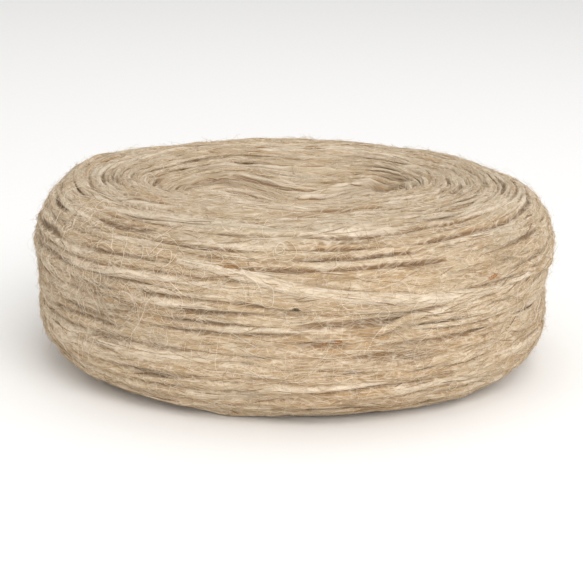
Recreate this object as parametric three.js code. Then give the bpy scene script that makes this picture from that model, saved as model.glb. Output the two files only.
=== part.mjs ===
// A flat round cake of soft, unspun wool yarn. One thick strand is wound round and round into a
// low puck with soft shoulders. Its middle was wound on a core that is gone, so the innermost turns
// have closed up into a long wavy slit with a pit at each end, and the top dips round them.
//
// The cake is one solid. Its skin is a sheet of turns that starts round the flat spot underneath,
// climbs the wall and runs in over the top to the slit. The sheet itself is wound: one lap round
// the cake moves it along by one bundle of turns, so its grooves are one continuous spiral.
//
// Millimetres, +Z up. The origin is the middle of the underside. -Y is the front.

import * as THREE from "three";
import { mergeVertices } from "three/addons/utils/BufferGeometryUtils.js";

// The wound form
const CAKE_RADIUS = 100.2; // at the widest turn, just under the shoulder
const CAKE_HEIGHT = 68.5;
const SHOULDER = { reach: 24, fall: 22.5 }; // how far in and down the top edge is rounded
const FOOT_RADIUS = 98.8;
const FOOT = { reach: 23, rise: 20 }; // how far in and up the bottom edge is rounded
const WAIST_DRAW_IN = 2.2; // how far the wall leans in between foot and shoulder
const FLAT_SPOT_RADIUS = 15; // plain, in the middle of the underside
// Shares of the radius by which the cake is out of round, and the direction of its longer way
const OUT_OF_ROUND = { swell: 0.006, direction: 0.25, squareBack: 0.011 };

// The middle of the top
const CREST_RADIUS = 46; // where the top is highest, before it dips to the slit
const DIP = { depth: 7.4, brow: 0.4, floor: 0.62 }; // its curve's two handles are shares of the crest
const FAR_SIDE_RISE = 2.2; // how much higher the dip's far side stands, and how much lower its near side
const SLIT = { middleX: -6.8, middleY: 6.5, halfLength: 41.8, fade: 1.35 };
const WAVE = { length: 66, width: 12.5, lift: 1, nearX: 4, window: 88, fade: 3 };
const PIT = { depth: 4, width: 4 };

// The turns. A bundle is a few turns that lie together as one ridge, three rows of corners wide.
const BUNDLE_WIDTH = 8;
const ROWS_PER_BUNDLE = 3;
const COLUMNS = 66;
const GROOVE = { depth: 1.6, uneven: 0.45, swells: 4, phase: 1.9, underneath: 0.5 };
const WANDER = { width: 1.2, swings: 2, phase: 1.3 }; // how a groove strays across its lap
const BACK = { depth: 0.25, swells: 3 }; // how a bundle's back lies under the skin here and there

// The last turn, which slants off the shoulder down across the front and stands a little proud
const LAST_TURN = { start: 230, end: 316, high: 58, low: 45, width: 4.5, stand: 1.6, taper: 0.2 };

const FULL_TURN = 2 * Math.PI;
const SMALLEST_STEP = 0.6; // a row nearer than this to either end of the skin lies on that end

// The cake's skin seen from the side: from the middle of the underside out, up and in to the slit
function skinOutline() {
  const wallTop = CAKE_HEIGHT - SHOULDER.fall;
  const wallThird = (wallTop - FOOT.rise) / 3;
  const slitHeight = CAKE_HEIGHT - DIP.depth;
  const foot = new THREE.Path();
  foot.moveTo(0, 0);
  foot.lineTo(FOOT_RADIUS - FOOT.reach, 0);
  foot.absellipse(FOOT_RADIUS - FOOT.reach, FOOT.rise, FOOT.reach, FOOT.rise, -Math.PI / 2, 0);
  const wall = new THREE.CubicBezierCurve(
    new THREE.Vector2(FOOT_RADIUS, FOOT.rise),
    new THREE.Vector2(FOOT_RADIUS - WAIST_DRAW_IN / 2, FOOT.rise + wallThird),
    new THREE.Vector2(CAKE_RADIUS - WAIST_DRAW_IN, wallTop - wallThird),
    new THREE.Vector2(CAKE_RADIUS, wallTop),
  );
  const top = new THREE.Path();
  top.absellipse(CAKE_RADIUS - SHOULDER.reach, wallTop, SHOULDER.reach, SHOULDER.fall, 0, Math.PI / 2);
  top.lineTo(CREST_RADIUS, CAKE_HEIGHT);
  top.bezierCurveTo(
    DIP.brow * CREST_RADIUS, CAKE_HEIGHT,
    DIP.floor * CREST_RADIUS, slitHeight,
    0, slitHeight,
  );
  const outline = new THREE.CurvePath();
  outline.curves.push(...foot.curves, wall, ...top.curves);
  return { outline, length: outline.getLength(), topLength: top.getLength() };
}

const SKIN = skinOutline();

// The share by which the cake is wider or narrower than a circle in one direction
function outOfRound(angle) {
  const towardsBack = (1 + Math.sin(angle)) / 2;
  const oval = OUT_OF_ROUND.swell * Math.cos(2 * (angle - OUT_OF_ROUND.direction));
  return oval + OUT_OF_ROUND.squareBack * towardsBack * Math.sin(2 * angle) ** 2;
}

// The wave that the slit makes, which the turns round it follow less and less
function wave(x, inward) {
  const off = x - WAVE.nearX;
  const hold = Math.exp(-((off / WAVE.window) ** 2)) * inward ** WAVE.fade;
  return -Math.cos((FULL_TURN * off) / WAVE.length) * hold;
}

// How deep the pits at the two ends of the slit are at a place
function pitDepth(x, y) {
  const ends = [SLIT.middleX - SLIT.halfLength, SLIT.middleX + SLIT.halfLength];
  const depths = ends.map((endX) => {
    const endY = SLIT.middleY + WAVE.width * wave(endX, 1);
    const off = Math.hypot(x - endX, y - endY) / PIT.width;
    return PIT.depth * Math.exp(-off * off);
  });
  return Math.max(...depths);
}

// How much higher or lower than the even dip its far and near sides stand
function farSideRise(inward, angle) {
  const steepest = 256 / 27; // makes the greatest value of the next line's product one
  return FAR_SIDE_RISE * steepest * inward ** 3 * (1 - inward) * Math.sin(angle);
}

// A point of the smooth skin, at a distance along its outline and an angle round the cake
function skinPoint(along, angle) {
  const side = SKIN.outline.getPoint(along / SKIN.length);
  const ring = side.x * (1 + outOfRound(angle));
  const onTop = along > SKIN.length - SKIN.topLength;
  const inward = onTop ? Math.max(0, 1 - side.x / CAKE_RADIUS) : 0;
  const stretch = inward ** SLIT.fade;
  const x = (ring + SLIT.halfLength * stretch) * Math.cos(angle) + SLIT.middleX * stretch;
  const swing = wave(x, inward);
  const y = ring * Math.sin(angle) + SLIT.middleY * stretch + WAVE.width * swing;
  const uneven = WAVE.lift * swing + farSideRise(inward, angle);
  const z = side.y + uneven - (onTop ? pitDepth(x, y) : 0);
  return new THREE.Vector3(x, y, z);
}

function skinNormal(along, angle) {
  const step = SMALLEST_STEP;
  const turn = step / CAKE_RADIUS;
  const before = Math.max(0, along - step);
  const after = Math.min(SKIN.length - step / 2, along + step);
  const across = skinPoint(after, angle).sub(skinPoint(before, angle));
  const round = skinPoint(along, angle + turn).sub(skinPoint(along, angle - turn));
  return round.cross(across).normalize();
}

// How deep a row of the sheet lies under the smooth skin: a groove, or the back of a bundle
function ridgeDepth(row, along, angle) {
  const underneath = along < FOOT_RADIUS - FOOT.reach;
  if (row % ROWS_PER_BUNDLE > 0) {
    return underneath ? 0 : BACK.depth * (1 + Math.sin(BACK.swells * angle + row));
  }
  const depth = GROOVE.depth * (underneath ? GROOVE.underneath : 1);
  return depth * (1 + GROOVE.uneven * Math.sin(GROOVE.swells * angle + GROOVE.phase * row));
}

// How far a groove strays from its lap
function stray(row, angle) {
  const bundle = Math.floor(row / ROWS_PER_BUNDLE);
  const inGroove = row % ROWS_PER_BUNDLE === 0;
  return inGroove ? WANDER.width * Math.sin(WANDER.swings * angle + WANDER.phase * bundle) : 0;
}

// How far the last turn stands proud of the wall at a place
function lastTurnStand(height, angle) {
  const degrees = THREE.MathUtils.radToDeg(THREE.MathUtils.euclideanModulo(angle, FULL_TURN));
  const share = (degrees - LAST_TURN.start) / (LAST_TURN.end - LAST_TURN.start);
  if (share < 0 || share > 1) return 0;
  const slant = THREE.MathUtils.smoothstep(share, 0, 1);
  const middle = THREE.MathUtils.lerp(LAST_TURN.high, LAST_TURN.low, slant);
  const off = (height - middle) / LAST_TURN.width;
  const taper = Math.min(1, share / LAST_TURN.taper, (1 - share) / LAST_TURN.taper);
  return LAST_TURN.stand * taper * Math.exp(-off * off);
}

// The slit is one line, met from both sides, so opposite columns end on the same point
function slitPoint(column) {
  const oneSided = Math.min(column, COLUMNS - column);
  return skinPoint(SKIN.length, (FULL_TURN * oneSided) / COLUMNS);
}

// One corner of the wound sheet. A lap ends on the row where the next bundle starts. The rows
// before the first lie on the flat spot's edge, and the rows past the last lie on the slit.
function sheetPoint(row, column) {
  if (column === COLUMNS) return sheetPoint(row + ROWS_PER_BUNDLE, 0);
  const angle = (FULL_TURN * column) / COLUMNS;
  const lap = row / ROWS_PER_BUNDLE + column / COLUMNS;
  const along = FLAT_SPOT_RADIUS + lap * BUNDLE_WIDTH + stray(row, angle);
  if (along < FLAT_SPOT_RADIUS + SMALLEST_STEP) return skinPoint(FLAT_SPOT_RADIUS, angle);
  if (along > SKIN.length - SMALLEST_STEP) return slitPoint(column);
  const point = skinPoint(along, angle);
  const fadeAtSlit = Math.min(1, (SKIN.length - along) / BUNDLE_WIDTH);
  const lift = lastTurnStand(point.z, angle) - ridgeDepth(row, along, angle);
  return point.addScaledVector(skinNormal(along, angle), lift * fadeAtSlit);
}

// Adds a triangle's corners, unless two of them fall together
function addTriangle(corners, a, b, c) {
  const shortest = Math.min(a.distanceTo(b), b.distanceTo(c), c.distanceTo(a));
  if (shortest > Number.EPSILON) corners.push(...a, ...b, ...c);
}

// The flat spot underneath, a fan round the origin
function addFlatSpot(corners) {
  const middle = new THREE.Vector3();
  for (let column = 0; column < COLUMNS; column++) {
    const here = skinPoint(FLAT_SPOT_RADIUS, (FULL_TURN * column) / COLUMNS);
    const next = skinPoint(FLAT_SPOT_RADIUS, (FULL_TURN * ((column + 1) % COLUMNS)) / COLUMNS);
    addTriangle(corners, middle, next, here);
  }
}

// The turns, in square cells between neighbouring rows and columns of the wound sheet
function addTurns(corners) {
  const lastRow = Math.ceil(((SKIN.length - FLAT_SPOT_RADIUS) / BUNDLE_WIDTH + 1) * ROWS_PER_BUNDLE);
  for (let row = -2 * ROWS_PER_BUNDLE; row < lastRow; row++) {
    for (let column = 0; column < COLUMNS; column++) {
      const near = sheetPoint(row, column);
      const nearNext = sheetPoint(row, column + 1);
      const farNext = sheetPoint(row + 1, column + 1);
      const far = sheetPoint(row + 1, column);
      addTriangle(corners, near, nearNext, farNext);
      addTriangle(corners, near, farNext, far);
    }
  }
}

function cakeGeometry() {
  const corners = [];
  addFlatSpot(corners);
  addTurns(corners);
  const geometry = new THREE.BufferGeometry();
  geometry.setAttribute("position", new THREE.Float32BufferAttribute(corners, 3));
  const closed = mergeVertices(geometry);
  closed.computeVertexNormals();
  return closed;
}

// Undyed wool, a warm beige without any gloss
function undyedWool() {
  return new THREE.MeshStandardMaterial({ color: "#c9b08f", roughness: 0.95, metalness: 0 });
}

function woolCake() {
  const mesh = new THREE.Mesh(cakeGeometry(), undyedWool());
  mesh.name = "wool_cake";
  return mesh;
}

const cake = new THREE.Group();
cake.add(woolCake());
export default cake;
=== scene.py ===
"""A flat wound cake of soft unspun wool, with its turns, stray fibres and flecks.

The cake's skin is a sheet that runs from the flat spot underneath, up the wall and in over the top
to a long wavy slit. Everything is laid out on it by two numbers: how far along its outline a point
lies, and at what angle round the cake. Distances are in metres, +Z is up and -Y is the front.
"""

import math

import bmesh
import bpy
import numpy as np
from mathutils import Matrix, Vector


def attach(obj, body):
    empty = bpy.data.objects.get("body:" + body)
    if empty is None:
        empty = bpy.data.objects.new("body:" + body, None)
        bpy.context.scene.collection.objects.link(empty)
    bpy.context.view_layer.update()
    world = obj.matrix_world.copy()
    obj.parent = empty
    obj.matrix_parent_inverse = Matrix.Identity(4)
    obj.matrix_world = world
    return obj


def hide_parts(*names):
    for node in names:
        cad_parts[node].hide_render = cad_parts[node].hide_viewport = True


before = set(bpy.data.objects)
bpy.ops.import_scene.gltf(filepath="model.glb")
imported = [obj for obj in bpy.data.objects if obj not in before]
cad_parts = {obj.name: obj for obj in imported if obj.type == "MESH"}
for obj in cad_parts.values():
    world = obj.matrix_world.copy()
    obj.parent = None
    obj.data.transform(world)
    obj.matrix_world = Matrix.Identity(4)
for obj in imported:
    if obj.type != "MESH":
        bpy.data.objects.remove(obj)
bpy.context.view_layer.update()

bl_info = {
    "name": "Wound Wool Cake",
    "version": (1, 0, 0),
    "blender": (4, 5, 0),
    "location": "View3D > Sidebar > Wool Cake",
    "description": "Winds a flat cake of soft unspun wool, with its turns, stray fibres and flecks",
    "category": "Add Mesh",
}

NODE = "wool_cake"
BODY = "root"
MM = 0.001
FULL_TURN = 2 * math.pi
MIDDLING_RING = 85 * MM
LONGEST_OUTLINE = 290 * MM
FINE_POINTS = 400
STRANDS_IN_PAIR = 2

# Seeded unevenness of the wound wool: millimetres that one patch of it measures across the turns and
# along them, and how much it comes to. That is in widths of a strand for the sways, a share of the
# usual depth for the grooves, and otherwise millimetres.
UNEVENNESS = {
    "slow_sway": {"seed": 60, "across": 9, "around": 60, "much": 0.3},
    "quick_sway": {"seed": 61, "across": 4, "around": 26, "much": 0.14},
    "groove": {"seed": 62, "across": 4, "around": 20, "much": 0.95},
    "broad_locks": {"seed": 63, "across": 1.5, "around": 15, "much": 0.17},
    "narrow_locks": {"seed": 64, "across": 1.1, "around": 7, "much": 0.11},
    "slant": {"seed": 65, "across": 12, "around": 26, "much": 1.5},
    "broad_swell": {"seed": 66, "across": 24, "around": 60, "much": 0.4},
    "small_swell": {"seed": 67, "across": 9, "around": 34, "much": 0.28},
    "wobble": {"seed": 71, "across": 2.5, "around": 13, "much": 0.3},
}

# How deep the grooves are in millimetres: on the wall, what the top adds, and what the slit adds
GROOVES = {
    "between_pairs": {"wall": 1.2, "top": 1.0, "slit": 0.8},
    "within_pair": {"wall": 1.1, "top": -0.3, "slit": 0},
    "parting": {"wall": 1.6, "top": 0.9, "slit": 0},
    "deepest": {"wall": 2.2, "top": 0.5, "slit": 1.0},
}

# How the last turn comes down off the shoulder at the front: degrees round the cake, millimetres up
LAST_TURN = (
    {"angle": 236, "height": 58.5},
    {"angle": 246, "height": 58.0},
    {"angle": 255, "height": 56.6},
    {"angle": 263, "height": 54.3},
    {"angle": 271, "height": 51.2},
    {"angle": 280, "height": 49.0},
    {"angle": 290, "height": 47.6},
    {"angle": 302, "height": 46.2},
    {"angle": 316, "height": 44.8},
    {"angle": 330, "height": 43.6},
)

# Where neighbouring turns of the wall have parted: degrees round the cake, millimetres up, degrees
# from the middle to an end, millimetres wide
WALL_PARTINGS = (
    {"angle": 264, "height": 44.5, "reach": 7, "width": 2.2},
    {"angle": 281, "height": 39.5, "reach": 11, "width": 2.2},
    {"angle": 297, "height": 42.0, "reach": 6, "width": 2.4},
    {"angle": 302, "height": 36.0, "reach": 6, "width": 2.0},
    {"angle": 242, "height": 45.5, "reach": 9, "width": 2.0},
    {"angle": 226, "height": 46.5, "reach": 7, "width": 2.2},
    {"angle": 229, "height": 25.6, "reach": 7, "width": 2.6},
    {"angle": 231, "height": 36.5, "reach": 5, "width": 2.0},
    {"angle": 249, "height": 33.6, "reach": 8, "width": 1.8},
    {"angle": 266, "height": 33.2, "reach": 7, "width": 1.8},
    {"angle": 261, "height": 22.5, "reach": 7, "width": 2.0},
    {"angle": 276, "height": 32.2, "reach": 6, "width": 1.8},
    {"angle": 291, "height": 28.8, "reach": 10, "width": 2.4},
    {"angle": 313, "height": 30.3, "reach": 6, "width": 2.0},
    {"angle": 240, "height": 17.2, "reach": 6, "width": 1.8},
    {"angle": 283, "height": 60.4, "reach": 13, "width": 1.4},
    {"angle": 30, "height": 40.0, "reach": 10, "width": 2.0},
    {"angle": 62, "height": 28.0, "reach": 9, "width": 2.2},
    {"angle": 95, "height": 45.0, "reach": 10, "width": 2.0},
    {"angle": 124, "height": 33.0, "reach": 8, "width": 2.2},
    {"angle": 150, "height": 24.0, "reach": 10, "width": 2.0},
    {"angle": 178, "height": 42.0, "reach": 9, "width": 2.0},
    {"angle": 348, "height": 34.0, "reach": 8, "width": 2.0},
    {"angle": 5, "height": 24.0, "reach": 9, "width": 2.0},
)

# The same on the top, by millimetres from the slit instead of millimetres up
TOP_PARTINGS = (
    {"angle": 95, "from_slit": 18.5, "reach": 42, "width": 2.0},
    {"angle": 78, "from_slit": 10.5, "reach": 32, "width": 2.0},
    {"angle": 90, "from_slit": 27.0, "reach": 16, "width": 1.2},
    {"angle": 172, "from_slit": 21.0, "reach": 12, "width": 2.4},
    {"angle": 150, "from_slit": 27.0, "reach": 10, "width": 1.8},
    {"angle": 195, "from_slit": 50.0, "reach": 10, "width": 2.2},
    {"angle": 28, "from_slit": 26.5, "reach": 14, "width": 1.8},
    {"angle": 3, "from_slit": 26.0, "reach": 14, "width": 2.4},
    {"angle": 50, "from_slit": 40.0, "reach": 16, "width": 1.8},
    {"angle": 25, "from_slit": 48.0, "reach": 8, "width": 2.0},
    {"angle": 348, "from_slit": 50.0, "reach": 9, "width": 2.2},
    {"angle": 337, "from_slit": 62.0, "reach": 8, "width": 2.4},
    {"angle": 312, "from_slit": 53.0, "reach": 5, "width": 2.6},
    {"angle": 281, "from_slit": 53.0, "reach": 10, "width": 1.6},
    {"angle": 229, "from_slit": 90.0, "reach": 9, "width": 1.4},
    {"angle": 229, "from_slit": 74.0, "reach": 8, "width": 2.0},
)

# Bits of plant and stained wool caught in the wool: degrees round the cake, millimetres up,
# millimetres long and wide, and what they are
FLECKS = (
    {"angle": 270.2, "height": 44.8, "length": 3.4, "width": 2.0, "kind": "dry_plant"},
    {"angle": 314.8, "height": 50.0, "length": 6.0, "width": 2.4, "kind": "rusty_wool"},
    {"angle": 257.3, "height": 57.6, "length": 7.0, "width": 1.6, "kind": "brown_wool"},
    {"angle": 279.3, "height": 32.3, "length": 2.6, "width": 1.2, "kind": "rusty_wool"},
    {"angle": 276.0, "height": 31.3, "length": 4.0, "width": 1.2, "kind": "brown_wool"},
    {"angle": 36.0, "height": 37.0, "length": 3.0, "width": 1.6, "kind": "dry_plant"},
    {"angle": 118.0, "height": 49.0, "length": 5.0, "width": 1.4, "kind": "rusty_wool"},
    {"angle": 164.0, "height": 28.0, "length": 6.0, "width": 1.6, "kind": "brown_wool"},
)


def linear(code):
    """The linear colour of an sRGB hex code."""
    channels = [int(code[i : i + 2], 16) / 255 for i in (1, 3, 5)]
    return [c / 12.92 if c <= 0.04045 else ((c + 0.055) / 1.055) ** 2.4 for c in channels]


def colour(name, description, code):
    """A colour that the user can change, from its sRGB hex code."""
    return bpy.props.FloatVectorProperty(
        name=name, description=description, default=linear(code), subtype="COLOR", min=0, max=1
    )


def length(name, description, millimetres):
    """A length that the user can change."""
    return bpy.props.FloatProperty(
        name=name, description=description, default=millimetres * MM, unit="LENGTH", subtype="DISTANCE"
    )


def amount(name, description, value):
    """A whole number that the user can change."""
    return bpy.props.IntProperty(name=name, description=description, default=value, min=0)


class WoolCakeForm(bpy.types.PropertyGroup):
    """The wound form, the same as the solid's."""

    radius: length("Radius", "At the widest turn, just under the shoulder", 100.2)
    height: length("Height", "From the underside to the crest of the top", 68.5)
    shoulder_reach: length("Shoulder reach", "How far in the top edge is rounded", 24)
    shoulder_fall: length("Shoulder fall", "How far down the top edge is rounded", 22.5)
    foot_radius: length("Foot radius", "Of the wall's lower end", 98.8)
    foot_reach: length("Foot reach", "How far in the bottom edge is rounded", 23)
    foot_rise: length("Foot rise", "How far up the bottom edge is rounded", 20)
    waist: length("Waist", "How far the wall leans in between foot and shoulder", 2.2)
    flat_spot: length("Flat spot", "Radius of the plain spot underneath", 15)
    crest_radius: length("Crest radius", "Where the top is highest", 46)
    dip: length("Dip", "How deep the top sinks to the slit", 7.4)
    far_side: length("Far side rise", "How much higher the dip's far side stands than an even dip", 2.2)
    slit_half: length("Slit half length", "Half the length of the closed middle", 41.8)
    slit_x: length("Slit X", "Middle of the slit", -6.8)
    slit_y: length("Slit Y", "Middle of the slit", 6.5)
    wave_length: length("Wave length", "Of the slit's wave", 66)
    wave_width: length("Wave width", "How far the slit swings sideways", 12.5)
    wave_lift: length("Wave lift", "How far the slit swings up and down", 1)
    pit_depth: length("Pit depth", "Of the holes at the slit's two ends", 4)
    pit_width: length("Pit width", "Of the holes at the slit's two ends", 4)
    bundle: length("Bundle", "Width of two turns that lie together", 7.93)


class WoolCakeStrand(bpy.types.PropertyGroup):
    """The soft strand that the cake is wound from, and its loose fibres."""

    step: length("Step", "Between two sections of a strand", 1.6)
    sides: amount("Sides", "Of a strand's section", 8)
    crossings: amount("Crossing locks", "Locks that lie aslant over the turns", 200)
    wisps: amount("Wisps", "Locks of fibres that lie on the strands", 7600)
    hairs: amount("Hairs", "Single fibres that stand out", 9900)
    long_hairs: amount("Long hairs", "Long pale fibres that lie in loops on the wall", 330)
    wisp_length: length("Wisp length", "Of a middling wisp", 14)
    hair_length: length("Hair length", "Of a middling hair", 7)


class WoolCakeColours(bpy.types.PropertyGroup):
    """Undyed wool, from its pale tips to its brown fibres, with the brown also painted as shade between
    the turns.
    """

    pale: colour("Pale", "Bleached tips and stray fibres", "#eadbc5")
    light: colour("Light", "Most of the wool", "#c8b190")
    tan: colour("Tan", "The warmer wool of the wall", "#b2936c")
    grey: colour("Grey", "The greyer wool here and there on the top", "#aa9e88")
    # Brown of the brown fibres, and also the painted shade deep between the turns
    brown: colour("Brown", "Deep between the turns", "#806140")
    fleck: colour("Fleck", "Bits of plant", "#6b583c")
    stain: colour("Stain", "Rust-coloured wool", "#b87a3a")
    rust: colour("Faint stain", "Wool stained a light brown", "#b08556")


class WoolCakeStage(bpy.types.PropertyGroup):
    """Where the photograph was taken from, the floor and the light."""

    distance: length("Camera distance", "From the middle of the cake", 653.5)
    elevation: bpy.props.FloatProperty(
        name="Elevation", description="Of the camera", default=math.radians(15), subtype="ANGLE"
    )
    roll: bpy.props.FloatProperty(
        name="Roll", description="Of the camera", default=math.radians(1.27), subtype="ANGLE"
    )
    frame_width: length("Frame width", "What the frame takes in at the cake's middle", 230.9)
    floor: colour("Floor", "Plain pale floor", "#f8f7f5")


SETTINGS = {
    "wool_cake_form": WoolCakeForm,
    "wool_cake_strand": WoolCakeStrand,
    "wool_cake_colours": WoolCakeColours,
    "wool_cake_stage": WoolCakeStage,
}


# The skin


def unit(vectors):
    """The same directions, one long."""
    return vectors / np.linalg.norm(vectors, axis=-1, keepdims=True)


def quarter(centre, reach, rise, start, count=60):
    """A quarter of an ellipse, in the plane of radius and height."""
    turn = np.linspace(start, start + math.pi / 2, count)
    return np.column_stack([centre[0] + reach * np.cos(turn), centre[1] + rise * np.sin(turn)])


def bend(handles, count=80):
    """A cubic curve through its first and last handle."""
    share = np.linspace(0, 1, count)[:, None]
    a, b, c, d = (np.array(h) for h in handles)
    rest = 1 - share
    return a * rest**3 + 3 * b * rest**2 * share + 3 * c * rest * share**2 + d * share**3


class Skin:
    """The cake's smooth outside."""

    # How far from round it is, as shares of its radius, and the angle of its longer way
    oval, square_back, longer_way = 0.006, 0.011, 0.25
    # How fast the slit and its wave fade outwards, where the wave's lowest place is and its reach
    slit_fade, wave_fade, wave_near, wave_window = 1.35, 3, 4 * MM, 88 * MM
    # Brings the curve of the far side's rise to a peak of one
    far_side_peak = 256 / 27

    def __init__(self, form):
        self.form = form
        wall_top = form.height - form.shoulder_fall
        third = (wall_top - form.foot_rise) / 3
        slit_height = form.height - form.dip
        foot_in = form.foot_radius - form.foot_reach
        shoulder_in = form.radius - form.shoulder_reach
        wall = bend(
            [
                (form.foot_radius, form.foot_rise),
                (form.foot_radius - form.waist / 2, form.foot_rise + third),
                (form.radius - form.waist, wall_top - third),
                (form.radius, wall_top),
            ]
        )
        dip = bend(
            [
                (form.crest_radius, form.height),
                (0.4 * form.crest_radius, form.height),
                (0.62 * form.crest_radius, slit_height),
                (0, slit_height),
            ]
        )
        foot = quarter((foot_in, form.foot_rise), form.foot_reach, form.foot_rise, -math.pi / 2)
        shoulder = quarter((shoulder_in, wall_top), form.shoulder_reach, form.shoulder_fall, 0)
        outline = np.concatenate([[(0, 0)], foot, wall[1:], shoulder[1:], dip])
        steps = np.linalg.norm(np.diff(outline, axis=0), axis=1)
        self.runs = np.concatenate([[0], np.cumsum(steps)])
        self.rings, self.heights = outline.T
        self.length = self.runs[-1]
        self.foot_start = foot_in
        self.wall_end = self.runs[np.argmax(self.rings)]

    def along_at(self, height):
        """How far along the outline the wall reaches a height."""
        rising = self.runs <= self.wall_end + self.form.shoulder_reach * 1.5
        return np.interp(height, self.heights[rising], self.runs[rising])

    def out_of_round(self, angle):
        """What a ring gains at an angle, as a share of its radius: it is oval, and squarer behind."""
        towards_back = (1 + np.sin(angle)) / 2
        oval = self.oval * np.cos(2 * (angle - self.longer_way))
        return oval + self.square_back * towards_back * np.sin(2 * angle) ** 2

    def wave(self, x, inward):
        """How far the slit swings sideways, and the rings round it less and less."""
        off = x - self.wave_near
        hold = np.exp(-((off / self.wave_window) ** 2)) * inward**self.wave_fade
        return -np.cos(FULL_TURN * off / self.form.wave_length) * hold

    def pits(self, x, y):
        """How deep the holes at the slit's two ends are."""
        form = self.form
        depth = np.zeros_like(x)
        for end_x in (form.slit_x - form.slit_half, form.slit_x + form.slit_half):
            end_y = form.slit_y + form.wave_width * self.wave(end_x, 1)
            off = np.hypot(x - end_x, y - end_y) / form.pit_width
            depth = np.maximum(depth, form.pit_depth * np.exp(-(off**2)))
        return depth

    def point(self, along, angle):
        """The point of the skin at a place. Its rings are drawn out along the slit."""
        form = self.form
        along = np.clip(along, 0, self.length)
        side = np.interp(along, self.runs, self.rings)
        height = np.interp(along, self.runs, self.heights)
        ring = side * (1 + self.out_of_round(angle))
        on_top = along > self.wall_end
        inward = np.where(on_top, np.clip(1 - side / form.radius, 0, 1), 0)
        stretch = inward**self.slit_fade
        x = (ring + form.slit_half * stretch) * np.cos(angle) + form.slit_x * stretch
        swing = self.wave(x, inward)
        y = ring * np.sin(angle) + form.slit_y * stretch + form.wave_width * swing
        far = form.far_side * self.far_side_peak * inward**3 * (1 - inward) * np.sin(angle)
        z = height + form.wave_lift * swing + far - np.where(on_top, self.pits(x, y), 0)
        return np.stack([x, y, z], axis=-1)

    def slopes(self, along, angle):
        """How a point moves for each metre along the outline, and for each radian round."""
        step = 0.4 * MM
        turn = step / self.form.radius
        before = np.clip(along - step, 0, self.length)
        after = np.clip(along + step, 0, self.length - step / 2)
        span = (after - before)[..., None]
        across = (self.point(after, angle) - self.point(before, angle)) / span
        around = (self.point(along, angle + turn) - self.point(along, angle - turn)) / (2 * turn)
        return across, around

    def outward(self, along, angle):
        """The way that the skin faces."""
        across, around = self.slopes(along, angle)
        return unit(np.cross(around, across))


# The turns


def wander(rng, shortest, longest, count=6):
    """A smooth random function of one number, of about unit size."""
    rates = 1 / np.exp(rng.uniform(np.log(shortest), np.log(longest), count))
    phases = rng.uniform(0, FULL_TURN, count)
    sizes = rng.uniform(0.6, 1.0, count)
    sizes /= np.sqrt((sizes**2).sum() / 2)

    def value(place):
        return sum(s * np.sin(FULL_TURN * r * place + p) for s, r, p in zip(sizes, rates, phases))

    return value


def uneven(name, along, angle):
    """A smooth random value at places on the skin, from the table of unevenness. It closes round the
    cake."""
    patch = UNEVENNESS[name]
    across, around = patch["across"] * MM, patch["around"] * MM
    columns = round(FULL_TURN * MIDDLING_RING / around)
    rows = int(LONGEST_OUTLINE / across) + 2
    values = np.random.default_rng(patch["seed"]).normal(0, 1, (rows, columns))
    row = np.clip(along / across, 0, rows - 1.001)
    column = angle / FULL_TURN % 1 * columns
    i, j = row.astype(int), column.astype(int) % columns
    f, g = row - i, column - np.floor(column)
    f, g = f * f * (3 - 2 * f), g * g * (3 - 2 * g)
    k = (j + 1) % columns
    low = values[i, j] * (1 - g) + values[i, k] * g
    high = values[i + 1, j] * (1 - g) + values[i + 1, k] * g
    return patch["much"] * (low * (1 - f) + high * f)


def strand_count(form, along, turns):
    """How many strands there are from the flat spot to a place, some turns on from where they start."""
    return STRANDS_IN_PAIR * (along - form.flat_spot) / form.bundle - STRANDS_IN_PAIR * turns


def strand_sway(along, angle):
    """How far the strands have strayed sideways, in widths of a strand."""
    return uneven("slow_sway", along, angle) + uneven("quick_sway", along, angle)


def partings(skin, along, angle):
    """How far open the grooves are where neighbouring turns have parted, from 0 to about 1."""
    form = skin.form
    widening = 0.62
    sway = strand_sway(along, angle)
    wobble = uneven("wobble", along, angle) * MM
    rows = [(row, skin.along_at(row["height"] * MM)) for row in WALL_PARTINGS]
    rows += [(row, skin.length - row["from_slit"] * MM) for row in TOP_PARTINGS]
    opened = np.zeros_like(along)
    for row, middle in rows:
        start = math.radians(row["angle"])
        off = (angle - start + math.pi) % FULL_TURN - math.pi
        number = strand_count(form, along, (start + off) / FULL_TURN) + sway
        nearest = np.rint(strand_count(form, middle, start / FULL_TURN))
        beside = (number - nearest) * form.bundle / STRANDS_IN_PAIR + wobble
        near = np.exp(-((off / math.radians(row["reach"])) ** 4))
        across = np.exp(-((beside / (widening * row["width"] * MM)) ** 2))
        opened = np.maximum(opened, near * across)
    return opened


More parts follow.
